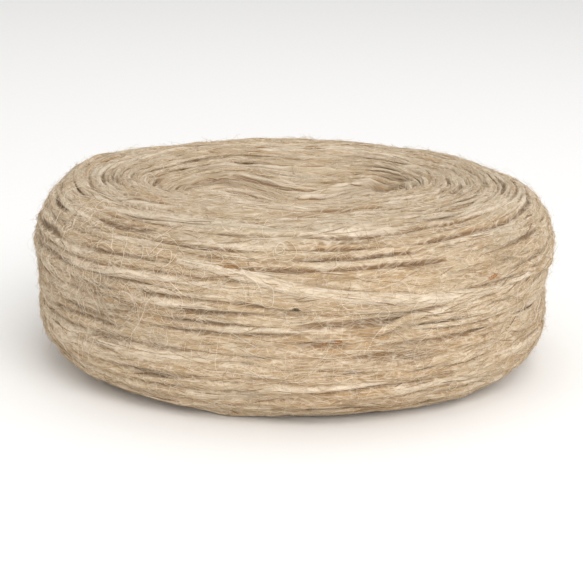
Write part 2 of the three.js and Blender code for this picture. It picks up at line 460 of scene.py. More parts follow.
def wound_relief(skin, along, angle):
    """How far the wound strands stand above the smooth skin, how deep a place lies in the grooves between
    them, which sets the painted shade there, and how pale they are."""
    lift, heave_height, heave_depth, paleness = 0.25, 0.45, 0.35, 0.4
    shoulder_width, slit_surround = 14 * MM, 34 * MM
    lap = angle / FULL_TURN % 1
    number = strand_count(skin.form, along, lap) + strand_sway(along, angle)
    strand = np.floor(number)
    second = strand % STRANDS_IN_PAIR
    off = 2 * (number - strand) - 1
    place = (strand - second) / STRANDS_IN_PAIR + lap
    heave, shade = np.zeros_like(along), np.zeros_like(along)
    for which in range(STRANDS_IN_PAIR):
        rng = np.random.default_rng(40 + which)
        heave = np.where(second == which, wander(rng, 0.04, 0.22)(place), heave)
        shade = np.where(second == which, wander(rng, 0.08, 1.5)(place), shade)
    on_top = np.clip((along - skin.wall_end) / shoulder_width, 0, 1)
    near_slit = np.exp(-(((skin.length - along) / slit_surround) ** 2))
    groove = {
        kind: row["wall"] + row["top"] * on_top + row["slit"] * near_slit for kind, row in GROOVES.items()
    }
    between_pairs = np.rint(number) % STRANDS_IN_PAIR == 0
    deep = np.where(between_pairs, groove["between_pairs"], groove["within_pair"])
    deep = deep * np.clip(0.85 + (1 - 0.6 * near_slit) * uneven("groove", along, angle), 0.1, 2.4)
    slanted = along + uneven("slant", along, angle) * MM
    locks = uneven("broad_locks", slanted, angle) + uneven("narrow_locks", slanted, angle)
    swell = uneven("broad_swell", along, angle) + uneven("small_swell", along, angle)
    inside = 1 - np.abs(off) ** 2.1
    hollow = np.maximum(deep * (1 - inside), groove["parting"] * partings(skin, along, angle))
    hollow = groove["deepest"] * np.tanh(hollow / groove["deepest"])
    height = lift + swell + heave_height * heave * inside + locks * (1 - 0.5 * on_top) - hollow
    tone = np.clip(0.5 + paleness * shade * inside, 0, 1)
    # The depth sets the painted shade of the grooves. It is made greater on the top, so that the painted
    # shade there starts higher up the rolls
    depth = lift + heave_depth * heave * inside + locks - hollow * (1.6 + 0.3 * on_top)
    return height * MM, depth * MM, tone


def even_steps(skin, along, angle, step):
    """The same path with its points one step apart, as a share of the old points."""
    points = skin.point(along, angle)
    runs = np.concatenate([[0], np.cumsum(np.linalg.norm(np.diff(points, axis=0), axis=1))])
    count = max(4, int(runs[-1] / step) + 1)
    return np.interp(np.linspace(0, runs[-1], count), runs, np.arange(len(runs)))


def strand_path(skin, along, angle, half_width, half_thickness, lift, tone, tilt, run_start):
    """A strand's centre line with what its section needs at each point. It is narrower where the
    turns crowd together."""
    across, around = skin.slopes(along, angle)
    outward = unit(np.cross(around, across))
    surface = skin.point(along, angle)
    height = lift - half_thickness
    points = surface + outward * height[:, None]
    tangent = unit(np.gradient(surface, axis=0))
    sideways = unit(np.cross(outward, tangent))
    crowd = np.abs((across * sideways).sum(axis=1))
    steps = np.linalg.norm(np.diff(points, axis=0), axis=1)
    turn = np.broadcast_to(tilt, along.shape)[:, None]
    return {
        "centre": points,
        "outward": outward * np.cos(turn) + sideways * np.sin(turn),
        "sideways": sideways * np.cos(turn) - outward * np.sin(turn),
        "half_width": half_width * np.clip(crowd, 0.4, 1.15),
        "half_thickness": half_thickness,
        "height": height,
        "run": run_start + np.concatenate([[0], np.cumsum(steps)]),
        "tone": tone,
    }


def crossing_paths(skin, strand):
    """Locks that have come out of the strands: they lie a little aslant and sink in at both ends."""
    lowest, highest = skin.foot_start + 8 * MM, skin.length - 18 * MM
    middling_reach, slant, curve, sunk, tilt = 58 * MM, 3.6, 0.45 * MM, 1.7, 9
    rng = np.random.default_rng(7)
    paths = []
    for number in range(strand.crossings):
        middle = lowest + (highest - lowest) * rng.random() ** 1.35
        ring = max(np.interp(middle, skin.runs, skin.rings), 20 * MM)
        reach = middling_reach * np.exp(rng.normal(0, 0.38)) / ring
        aslant = rng.normal(0, slant) * MM * (1 if middle < skin.wall_end else 0.6)
        share = np.linspace(-1, 1, FINE_POINTS)
        angle = rng.uniform(0, FULL_TURN) + share * reach / 2
        along = middle + aslant * 0.5 * np.sin(share * math.pi / 2) + wander(rng, 0.7, 2.5)(share) * curve
        spots = even_steps(skin, along, angle, strand.step * 1.2)
        share, along, angle = (np.interp(spots, np.arange(FINE_POINTS), v) for v in (share, along, angle))
        rise = np.clip(1 - share**2, 0, 1) ** 0.7
        half_width = rng.uniform(1.0, 2.2) * MM * (0.25 + 0.75 * rise)
        half_thickness = rng.uniform(0.5, 0.8) * MM * (0.5 + 0.5 * rise)
        lift = (rng.uniform(1.8, 2.4) * rise - sunk) * MM
        tone = np.full_like(share, np.clip(rng.normal(0.52, 0.2), 0, 1))
        turned = np.radians(rng.normal(0, tilt))
        run_start = 90 + number
        paths.append(
            strand_path(skin, along, angle, half_width, half_thickness, lift, tone, turned, run_start)
        )
    return paths


def last_turn_path(skin, strand):
    """The pale last turn, which comes down off the shoulder across the front."""
    rounding = 41
    angles = np.radians([row["angle"] for row in LAST_TURN])
    heights = np.array([row["height"] for row in LAST_TURN]) * MM
    share = np.linspace(-1, 1, FINE_POINTS)
    marks = np.linspace(-1, 1, len(angles))
    angle = np.interp(share, marks, angles)
    along = skin.along_at(np.interp(share, marks, heights))
    smooth = np.hanning(rounding) / np.hanning(rounding).sum()
    along = np.convolve(np.pad(along, rounding // 2, mode="edge"), smooth, mode="valid")
    spots = even_steps(skin, along, angle, strand.step)
    share, along, angle = (np.interp(spots, np.arange(FINE_POINTS), v) for v in (share, along, angle))
    rise = np.clip(1 - share**4, 0, 1)
    half_width = 2.3 * MM * (0.35 + 0.65 * rise)
    half_thickness = np.full_like(share, 1.4 * MM)
    lift = (3.3 * rise - 1.8) * MM
    tone = np.full_like(share, 0.97)
    return strand_path(skin, along, angle, half_width, half_thickness, lift, tone, 0.0, 200.0)


# Fibres


def places(skin, rng, count, on_top):
    """Random places, as thick on each square millimetre of the wall, and a share of that on top."""
    rows, columns, shoulder_width = 150, 180, 20 * MM
    along = np.linspace(skin.foot_start + 3 * MM, skin.length - 2 * MM, rows)
    angle = np.linspace(0, FULL_TURN, columns, endpoint=False)
    along, angle = (v.ravel() for v in np.meshgrid(along, angle, indexing="ij"))
    across, around = skin.slopes(along, angle)
    area = np.linalg.norm(np.cross(around, across), axis=1)
    area *= np.where(along > skin.wall_end + shoulder_width, on_top, 1)
    chosen = rng.choice(len(area), count, p=area / area.sum())
    jitter = rng.uniform(-0.5, 0.5, (2, count))
    step = (skin.length - skin.foot_start) / rows
    return along[chosen] + jitter[0] * step, angle[chosen] + jitter[1] * FULL_TURN / columns


def laid(skin, along, angle, ahead, aside):
    """Places that lie some way ahead along the turn, and aside of it, from where fibres start."""
    across, around = skin.slopes(along, angle)
    forward = unit(around)
    sideways = unit(np.cross(np.cross(around, across), forward))
    pace = np.maximum((across * sideways).sum(axis=1), 0.3)[:, None]
    drift = (across * forward).sum(axis=1)[:, None]
    ring = np.maximum(np.linalg.norm(around, axis=1), 4 * MM)[:, None]
    turned = (ahead - drift * aside / pace) / ring
    rise = skin.form.bundle * turned / FULL_TURN
    along = along[:, None] + aside / pace + rise
    return np.clip(along, 0, skin.length - 0.6 * MM), angle[:, None] + turned


def wisp_lines(skin, strand, count, seed):
    """Locks of fibres that follow the strands, as arrays with a row for each and a column for each
    of its points."""
    points, on_top, slanted, bowed = 5, 0.25, 10, 0.6 * MM
    rng = np.random.default_rng(seed)
    along, angle = places(skin, rng, count, on_top)
    share = np.linspace(-1, 1, points)[None, :] * np.ones((count, 1))
    reach = strand.wisp_length * np.exp(rng.normal(0, 0.4, (count, 1)))
    slant = np.tan(np.radians(rng.normal(0, slanted, (count, 1))))
    bow = rng.normal(0, bowed, (count, 1)) * share**2
    ahead = share * reach / 2
    along, angle = laid(skin, along, angle, ahead, ahead * slant + bow)
    return along, angle, share, rng


def curled(heading, reach, segments):
    """How far ahead and aside each point of a fibre lies, from the heading of each of its parts."""
    start = np.zeros((len(heading), 1))
    steps = reach / segments
    ahead = np.concatenate([start, np.cumsum(np.cos(heading) * steps, axis=1)], axis=1)
    aside = np.concatenate([start, np.cumsum(np.sin(heading) * steps, axis=1)], axis=1)
    share = np.linspace(0, 1, segments + 1)[None, :] * np.ones((len(heading), 1))
    return ahead, aside, share


def hair_lines(skin, strand, count, seed, segments):
    """Single fibres that start on the strands and curl off in any direction."""
    on_top = 0.5
    astray, bend_all, bend_each = np.radians(42), np.radians(24), np.radians(20)
    rng = np.random.default_rng(seed)
    along, angle = places(skin, rng, count, on_top)
    reach = strand.hair_length * np.exp(rng.normal(0, 0.45, (count, 1)))
    heading = rng.normal(0, astray, (count, 1)) + math.pi * rng.integers(0, 2, (count, 1))
    curl = rng.normal(0, bend_all, (count, 1)) + rng.normal(0, bend_each, (count, segments))
    ahead, aside, share = curled(heading + np.cumsum(curl, axis=1), reach, segments)
    along, angle = laid(skin, along, angle, ahead, aside)
    return along, angle, share, rng


# Node trees


def add_node(tree, kind, settings=None, inputs=None):
    """Adds a node with its settings, and sets its inputs or links them to sockets or nodes."""
    node = tree.nodes.new(kind)
    for name, value in (settings or {}).items():
        setattr(node, name, value)
    for name, value in (inputs or {}).items():
        if isinstance(value, bpy.types.Node):
            value = value.outputs[0]
        if isinstance(value, bpy.types.NodeSocket):
            tree.links.new(value, node.inputs[name])
        else:
            node.inputs[name].default_value = value
    return node


def new_tree(name, inputs):
    """A geometry node tree with one geometry in and out and some named inputs."""
    tree = bpy.data.node_groups.new(name, "GeometryNodeTree")
    tree.interface.new_socket("Geometry", in_out="INPUT", socket_type="NodeSocketGeometry")
    for label, kind in inputs.items():
        tree.interface.new_socket(label, in_out="INPUT", socket_type=kind)
    tree.interface.new_socket("Geometry", in_out="OUTPUT", socket_type="NodeSocketGeometry")
    return tree, add_node(tree, "NodeGroupInput")


def finish_tree(tree, geometry, material):
    """Presses flat whatever would reach below the floor, and makes the result real and smooth."""
    place = add_node(tree, "GeometryNodeInputPosition")
    raised = add_node(tree, "ShaderNodeVectorMath", {"operation": "MAXIMUM"}, {0: place, 1: (-1, -1, 0)})
    pressed = add_node(tree, "GeometryNodeSetPosition", None, {"Geometry": geometry, "Position": raised})
    shaded = add_node(tree, "GeometryNodeSetShadeSmooth", None, {"Geometry": pressed})
    real = add_node(tree, "GeometryNodeRealizeInstances", None, {"Geometry": shaded})
    painted = add_node(tree, "GeometryNodeSetMaterial", None, {"Geometry": real, "Material": material})
    add_node(tree, "NodeGroupOutput", None, {"Geometry": painted})


def sweep(tree, mesh, width, sides):
    """A closed tube along each line of the mesh."""
    lines = add_node(tree, "GeometryNodeMeshToCurve", None, {"Mesh": mesh})
    inputs = {"Resolution": sides, "Radius": 1.0}
    section = add_node(tree, "GeometryNodeCurvePrimitiveCircle", None, inputs)
    inputs = {"Curve": lines, "Profile Curve": section, "Scale": width, "Fill Caps": True}
    return add_node(tree, "GeometryNodeCurveToMesh", None, inputs)


def strand_tree():
    """Sweeps a strand along each line, and flattens it towards the skin."""
    tree, given = new_tree("wind_strands", {"Sides": "NodeSocketInt", "Material": "NodeSocketMaterial"})
    kinds = dict.fromkeys(("centre", "outward", "sideways"), "FLOAT_VECTOR")
    kinds |= dict.fromkeys(("half_width", "squeeze", "run", "height"), "FLOAT")
    path = {
        name: add_node(tree, "GeometryNodeInputNamedAttribute", {"data_type": kind}, {"Name": name})
        for name, kind in kinds.items()
    }
    tube = sweep(tree, given.outputs["Geometry"], path["half_width"], given.outputs["Sides"])
    place = add_node(tree, "GeometryNodeInputPosition")
    off = add_node(tree, "ShaderNodeVectorMath", {"operation": "SUBTRACT"}, {0: place, 1: path["centre"]})
    up, side = (
        add_node(tree, "ShaderNodeVectorMath", {"operation": "DOT_PRODUCT"}, {0: off, 1: path[way]})
        for way in ("outward", "sideways")
    )
    up, side = up.outputs["Value"], side.outputs["Value"]
    squeezed = add_node(tree, "ShaderNodeMath", {"operation": "MULTIPLY"}, {0: up, 1: path["squeeze"]})
    inputs = {0: path["outward"], "Scale": squeezed}
    lowered = add_node(tree, "ShaderNodeVectorMath", {"operation": "SCALE"}, inputs)
    grain = add_node(tree, "ShaderNodeCombineXYZ", None, {"X": path["run"], "Y": side, "Z": up})
    flattened = add_node(tree, "ShaderNodeMath", {"operation": "ADD"}, {0: up, 1: squeezed})
    # How deep each point lies, which sets the painted shade of the grooves
    depth = add_node(tree, "ShaderNodeMath", {"operation": "ADD"}, {0: flattened, 1: path["height"]})
    kept = tube
    for name, kind, value in (("grain", "FLOAT_VECTOR", grain), ("depth", "FLOAT", depth)):
        settings = {"data_type": kind, "domain": "POINT"}
        inputs = {"Geometry": kept, "Name": name, "Value": value}
        kept = add_node(tree, "GeometryNodeStoreNamedAttribute", settings, inputs)
    moved = add_node(tree, "GeometryNodeSetPosition", None, {"Geometry": kept, "Offset": lowered})
    finish_tree(tree, moved, given.outputs["Material"])
    return tree


def fibre_tree():
    """Drops each fibre's points onto the wound turns and sweeps a fine tube along them."""
    sockets = {
        "Winding": "NodeSocketCollection",
        "Sides": "NodeSocketInt",
        "Search": "NodeSocketFloat",
        "Material": "NodeSocketMaterial",
    }
    tree, given = new_tree("lay_fibres", sockets)
    kinds = {"outward": "FLOAT_VECTOR", "lift": "FLOAT", "half_width": "FLOAT", "depth": "FLOAT"}
    path = {
        name: add_node(tree, "GeometryNodeInputNamedAttribute", {"data_type": kind}, {"Name": name})
        for name, kind in kinds.items()
    }
    search, outward = given.outputs["Search"], path["outward"]
    reach = add_node(tree, "ShaderNodeMath", {"operation": "MULTIPLY"}, {0: search, 1: 2.0})
    over, down, lifted = (
        add_node(tree, "ShaderNodeVectorMath", {"operation": "SCALE"}, {0: outward, "Scale": scale})
        for scale in (search, -1.0, path["lift"])
    )
    place = add_node(tree, "GeometryNodeInputPosition")
    above = add_node(tree, "ShaderNodeVectorMath", {"operation": "ADD"}, {0: place, 1: over})
    inputs = {"Collection": given.outputs["Winding"]}
    ground = add_node(tree, "GeometryNodeCollectionInfo", None, inputs)
    rays = {
        "Target Geometry": add_node(tree, "GeometryNodeRealizeInstances", None, {"Geometry": ground}),
        "Attribute": path["depth"],
        "Source Position": above,
        "Ray Direction": down,
        "Ray Length": reach,
    }
    hit = add_node(tree, "GeometryNodeRaycast", None, rays)
    landed = hit.outputs["Hit Position"]
    target = add_node(tree, "ShaderNodeVectorMath", {"operation": "ADD"}, {0: landed, 1: lifted})
    inputs = {
        "Geometry": given.outputs["Geometry"],
        "Selection": hit.outputs["Is Hit"],
        "Position": target,
    }
    laid_down = add_node(tree, "GeometryNodeSetPosition", None, inputs)
    # Each fibre takes the depth of the winding under it, which sets its painted shade
    inputs = {"Geometry": laid_down, "Name": "depth", "Value": hit.outputs["Attribute"]}
    settings = {"data_type": "FLOAT", "domain": "POINT"}
    sunk = add_node(tree, "GeometryNodeStoreNamedAttribute", settings, inputs)
    tube = sweep(tree, sunk, path["half_width"], given.outputs["Sides"])
    finish_tree(tree, tube, given.outputs["Material"])
    return tree


# Meshes


WORKING_VALUES = ("centre", "outward", "sideways", "half_width", "squeeze", "run", "height", "lift")


def write_attributes(mesh, attributes):
    """Keeps a number, or a vector, for each point of a mesh under a name."""
    for label, values in attributes.items():
        kind, key = ("FLOAT_VECTOR", "vector") if values.ndim == 2 else ("FLOAT", "value")
        data = mesh.attributes.new(label, kind, "POINT").data
        data.foreach_set(key, values.astype(np.float32).ravel())


def line_mesh(name, rows, attributes):
    """A mesh of open lines: rows is a list of point arrays, attributes are arrays over all points."""
    counts = [len(r) for r in rows]
    points = np.concatenate(rows)
    starts = np.concatenate([[0], np.cumsum(counts)[:-1]])
    first = np.concatenate([np.arange(s, s + c - 1) for s, c in zip(starts, counts)])
    mesh = bpy.data.meshes.new(name)
    mesh.vertices.add(len(points))
    mesh.vertices.foreach_set("co", points.astype(np.float32).ravel())
    mesh.edges.add(len(first))
    mesh.edges.foreach_set("vertices", np.column_stack([first, first + 1]).astype(np.int32).ravel())
    write_attributes(mesh, attributes)
    mesh.update()
    return mesh


def swept(name, lines, tree, inputs):
    """Runs a node tree over some lines and keeps the result as a plain mesh object."""
    source = bpy.data.objects.new(name + "_lines", lines)
    bpy.context.scene.collection.objects.link(source)
    modifier = source.modifiers.new("nodes", "NODES")
    modifier.node_group = tree
    for item in tree.interface.items_tree:
        if item.in_out == "INPUT" and item.name in inputs:
            modifier[item.identifier] = inputs[item.name]
    source.update_tag()
    bpy.context.view_layer.update()
    graph = bpy.context.evaluated_depsgraph_get()
    mesh = bpy.data.meshes.new_from_object(source.evaluated_get(graph), depsgraph=graph)
    bpy.data.objects.remove(source)
    if not mesh.polygons:
        raise RuntimeError(f"{name} came out empty")
    for label in WORKING_VALUES:
        if label in mesh.attributes:
            mesh.attributes.remove(mesh.attributes[label])
    mesh.name = name
    piece = bpy.data.objects.new(name, mesh)
    bpy.context.scene.collection.objects.link(piece)
    return piece


def winding():
    """The collection of the wound strands, which fibres are laid on."""
    found = bpy.data.collections.get("winding")
    return found or bpy.data.collections.new("winding")


def keep(piece, stands_for_node=False):
    """Says what a finished piece rides on, and hides the solid's part that it stands for."""
    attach(piece, BODY)
    if stands_for_node:
        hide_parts(NODE)


def strands_piece(name, paths, sides):
    """A piece of swept strands, which also becomes ground for the fibres."""
    attributes = {
        key: np.concatenate([p[key] for p in paths])
        for key in ("centre", "outward", "sideways", "half_width", "height", "run", "tone")
    }
    thickness = np.concatenate([p["half_thickness"] for p in paths])
    attributes["squeeze"] = thickness / attributes["half_width"] - 1
    lines = line_mesh(name, [p["centre"] for p in paths], attributes)
    inputs = {"Sides": sides, "Material": finish("carded_wool_roving", carded_wool)}
    piece = swept(name, lines, strand_tree(), inputs)
    winding().objects.link(piece)
    keep(piece, stands_for_node=True)


def fibres_piece(name, skin, along, angle, lift, half_width, tone, material):
    """A piece of fine tubes laid on the winding, from arrays with a row for each fibre."""
    sides, search = 3, 6 * MM
    count, points = along.shape
    along, angle = along.ravel(), angle.ravel()
    attributes = {
        "outward": skin.outward(along, angle),
        "lift": np.broadcast_to(lift, (count, points)).ravel(),
        "half_width": np.broadcast_to(half_width, (count, points)).ravel(),
        "tone": np.broadcast_to(tone, (count, points)).ravel(),
    }
    rows = list(skin.point(along, angle).reshape(count, points, 3))
    lines = line_mesh(name, rows, attributes)
    inputs = {"Winding": winding(), "Sides": sides, "Search": search, "Material": material}
    keep(swept(name, lines, fibre_tree(), inputs))


def grid_mesh(name, points, attributes):
    """A closed skin through rows of points that go round, its two ends drawn together."""
    rows, columns = points.shape[:2]
    corner = np.arange(rows * columns).reshape(rows, columns)
    beside = np.roll(corner, -1, axis=1)
    faces = np.stack([corner[:-1], beside[:-1], beside[1:], corner[1:]], axis=-1).reshape(-1, 4)
    mesh = bpy.data.meshes.new(name)
    mesh.from_pydata(points.reshape(-1, 3).tolist(), [], faces.tolist())
    write_attributes(mesh, attributes)
    skin = bmesh.new()
    skin.from_mesh(mesh)
    bmesh.ops.remove_doubles(skin, verts=skin.verts, dist=0.004 * MM)
    for face in skin.faces:
        face.smooth = True
    skin.to_mesh(mesh)
    skin.free()
    return mesh


# Materials


def finish(name, paint, *details):
    """The material of a name, painted the first time that it is asked for."""
    material = bpy.data.materials.get(name)
    if not material:
        material = bpy.data.materials.new(name)
        material.use_nodes = True
        paint(material.node_tree, *details)
    return material


def coat(tree, body, colour, where, start, end, strength=1.0):
    """Lays a colour over another, from none where a value is at its start to most at its end."""
    spread = {"Value": where, "From Min": start, "From Max": end, "To Min": 0.0, "To Max": strength}
    share = add_node(tree, "ShaderNodeMapRange", {"clamp": True}, spread)
    under = body if isinstance(body, bpy.types.NodeSocket) else (*body, 1)
    settings = {"data_type": "RGBA", "blend_type": "MIX", "clamp_factor": True}
    return add_node(tree, "ShaderNodeMix", settings, {0: share, 6: under, 7: (*colour, 1)}).outputs[2]


def grains(tree, place, sizes, detail, roughness=0.5):
    """A value from 0 to 1 that varies from grain to grain, each grain as large as the sizes say."""
    scaled = {"Vector": place, "Scale": [1 / size for size in sizes]}
    drawn = add_node(tree, "ShaderNodeMapping", {"vector_type": "POINT"}, scaled)
    inputs = {"Vector": drawn, "Scale": 1, "Detail": detail, "Roughness": roughness}
    return add_node(tree, "ShaderNodeTexNoise", None, inputs)


def curly_lines(tree, place, turn, sizes, gap, width):
    """Thin curling lines, as fibres of a felted surface show, at an angle to the strand. Sizes are
    those of one curl along and across the lines, and the gap lies between two lines."""
    turned = {"Vector": place, "Rotation": (0, 0, math.radians(turn)), "Scale": (*sizes, sizes[1])}
    drawn = add_node(tree, "ShaderNodeMapping", {"vector_type": "TEXTURE"}, turned)
    inputs = {"Vector": drawn, "Scale": 1, "Detail": 1, "Roughness": 0.4}
    curl = add_node(tree, "ShaderNodeTexNoise", None, inputs)
    pace = 0.55 / sizes[1]  # how fast the noise changes across the lines
    folded = add_node(tree, "ShaderNodeMath", {"operation": "PINGPONG"}, {0: curl, 1: gap * pace / 2})
    spread = {"Value": folded, "From Min": pace * width, "From Max": 0.0, "To Min": 0.0, "To Max": 1.0}
    return add_node(tree, "ShaderNodeMapRange", {"clamp": True}, spread)


def wool_shader(tree, body, normal=None):
    """Matt wool: rough all over, with the soft bright edge that standing fibres give."""
    shader = tree.nodes["Principled BSDF"]
    tree.links.new(body, shader.inputs["Base Color"])
    if normal:
        tree.links.new(normal, shader.inputs["Normal"])
    shader.inputs["Roughness"].default_value = 0.95
    shader.inputs["IOR"].default_value = 1.55
    shader.inputs["Specular IOR Level"].default_value = 0.15
    shader.inputs["Sheen Weight"].default_value = 0.25
    shader.inputs["Sheen Roughness"].default_value = 0.6
    shader.inputs["Sheen Tint"].default_value = (*linear("#f3e6d2"), 1)


def carded_wool(tree):
    """Carded wool drawn into a soft strand. Its fibres lie along it and curl, so the eye sees soft
    streaks under a felt of fine curly hairs, greyer and warmer stretches, and a brown shade painted
    between turns."""
    colours = bpy.context.scene.wool_cake_colours
    grain, tone, depth = (
        add_node(tree, "ShaderNodeAttribute", {"attribute_name": name})
        for name in ("grain", "tone", "depth")
    )
    tone, depth = tone.outputs["Fac"], depth.outputs["Fac"]
    place = add_node(tree, "ShaderNodeTexCoord").outputs["Object"]
    height = add_node(tree, "ShaderNodeSeparateXYZ", None, {0: place}).outputs["Z"]
    # The streaks stray up to 2.6 mm sideways within 9 mm
    bent = grains(tree, place, (9 * MM, 9 * MM, 9 * MM), 1)
    sway = add_node(tree, "ShaderNodeMath", {"operation": "MULTIPLY"}, {0: bent, 1: 2.6 * MM})
    aside = add_node(tree, "ShaderNodeCombineXYZ", None, {"Y": sway})
    inputs = {0: grain.outputs["Vector"], 1: aside}
    swayed = add_node(tree, "ShaderNodeVectorMath", {"operation": "ADD"}, inputs)
    # Fibres are 0.03 mm thick, too fine to show, so a streak is a lock of them about 0.5 mm wide
    streaks = grains(tree, swayed, (9 * MM, 0.6 * MM, 0.6 * MM), 3, 0.62)
    locks = grains(tree, swayed, (16 * MM, 2.2 * MM, 2.2 * MM), 2)
    felt = grains(tree, swayed, (4.6 * MM, 0.48 * MM, 0.48 * MM), 3, 0.7)
    hairs = [
        curly_lines(tree, swayed, 0, (20 * MM, 4 * MM), 1.1 * MM, 0.2 * MM),
        curly_lines(tree, swayed, 13, (18 * MM, 4 * MM), 1.4 * MM, 0.2 * MM),
        curly_lines(tree, swayed, -17, (16 * MM, 4 * MM), 1.6 * MM, 0.2 * MM),
        curly_lines(tree, swayed, 62, (9 * MM, 5 * MM), 4.2 * MM, 0.17 * MM),
    ]
    # Thin brown curly lines: painted shadow between the fibres of the felt
    brown_hairs = curly_lines(tree, swayed, -9, (14 * MM, 4 * MM), 1.3 * MM, 0.22 * MM)
    patches = grains(tree, place, (34 * MM, 34 * MM, 34 * MM), 2)
    greying = grains(tree, place, (22 * MM, 22 * MM, 22 * MM), 3)
    body = coat(tree, colours.light, colours.tan, patches, 0.38, 0.62)
    body = coat(tree, body, colours.grey, greying, 0.52, 0.72, 0.3)
    body = coat(tree, body, colours.grey, height, 54 * MM, 66 * MM, 0.4)
    body = coat(tree, body, colours.pale, tone, 0.5, 1.0, 0.7)
    body = coat(tree, body, colours.tan, tone, 0.45, 0.0, 0.8)
    # The top shows its locks less than the wall does
    spread = {"Value": height, "From Min": 50 * MM, "From Max": 64 * MM, "To Min": 0.42, "To Max": 0.26}
    clear = add_node(tree, "ShaderNodeMapRange", {"clamp": True}, spread)
    body = coat(tree, body, colours.pale, streaks, 0.52, 0.72, clear)
    body = coat(tree, body, colours.brown, streaks, 0.48, 0.28, clear)
    body = coat(tree, body, colours.tan, locks, 0.48, 0.3, 0.4)
    # Painted shade: brown laid by depth deep in the grooves between turns, with ragged edges because
    # single fibres cross the grooves
    inputs = {0: streaks, 1: 1.1 * MM, 2: depth}
    ragged = add_node(tree, "ShaderNodeMath", {"operation": "MULTIPLY_ADD"}, inputs)
    body = coat(tree, body, colours.brown, ragged, 0.15 * MM, -1.15 * MM, 0.85)
    body = coat(tree, body, colours.brown, felt, 0.5, 0.3, clear)
    body = coat(tree, body, colours.pale, felt, 0.52, 0.7, clear)
    # Painted shadow between the fibres of the felt
    body = coat(tree, body, colours.brown, brown_hairs, 0, 1, 0.3)
    relief = add_node(tree, "ShaderNodeMath", {"operation": "ADD"}, {0: streaks, 1: felt})
    for line in hairs:
        body = coat(tree, body, colours.pale, line, 0, 1, 0.4)
    for line in hairs[:3]:
        inputs = {0: line, 1: 0.25, 2: relief}
        relief = add_node(tree, "ShaderNodeMath", {"operation": "MULTIPLY_ADD"}, inputs)
    inputs = {"Height": relief, "Distance": 0.5 * MM, "Strength": 0.9}
    wool_shader(tree, body, add_node(tree, "ShaderNodeBump", None, inputs).outputs["Normal"])


def loose_wool(tree):
    """Single fibres and small locks that have come up out of the strand. Each keeps one tone from root to
    tip, so the eye sees a melange of pale, tan and brown hairs, and painted shade browns them where they
    lie deep in the grooves."""
    colours = bpy.context.scene.wool_cake_colours
    tone, depth = (
        add_node(tree, "ShaderNodeAttribute", {"attribute_name": name}).outputs["Fac"]
        for name in ("tone", "depth")
    )
    place = add_node(tree, "ShaderNodeTexCoord").outputs["Object"]
    greying = grains(tree, place, (22 * MM, 22 * MM, 22 * MM), 3)
    body = coat(tree, colours.brown, colours.tan, tone, 0.0, 0.3)
    body = coat(tree, body, colours.light, tone, 0.3, 0.6)
    body = coat(tree, body, colours.pale, tone, 0.6, 0.9)
    body = coat(tree, body, colours.grey, greying, 0.52, 0.72, 0.3)
    # Painted shade: browner where the fibre lies deep in a groove
    body = coat(tree, body, colours.brown, depth, -0.9 * MM, -2.6 * MM, 0.7)
    wool_shader(tree, body)


def caught_bit(tree, colour):
    """Dry plant matter or a stained lock of wool: small, matt and darker than the wool."""
    place = add_node(tree, "ShaderNodeTexCoord").outputs["Object"]
    mottle = grains(tree, place, (0.8 * MM, 0.8 * MM, 0.8 * MM), 2)
    darker = [channel * 0.6 for channel in colour]
    wool_shader(tree, coat(tree, colour, darker, mottle, 0.3, 0.7))


def studio_board(tree):
    """Matt white studio board, with the faint mottling of its paper face."""
    floor = bpy.context.scene.wool_cake_stage.floor
    place = add_node(tree, "ShaderNodeTexCoord").outputs["Object"]
    mottle = grains(tree, place, (6 * MM, 6 * MM, 6 * MM), 2)
    darker = [channel * 0.985 for channel in floor]
    shader = tree.nodes["Principled BSDF"]
    tree.links.new(coat(tree, floor, darker, mottle, 0, 1), shader.inputs["Base Color"])
    shader.inputs["Roughness"].default_value = 0.9


# Operators


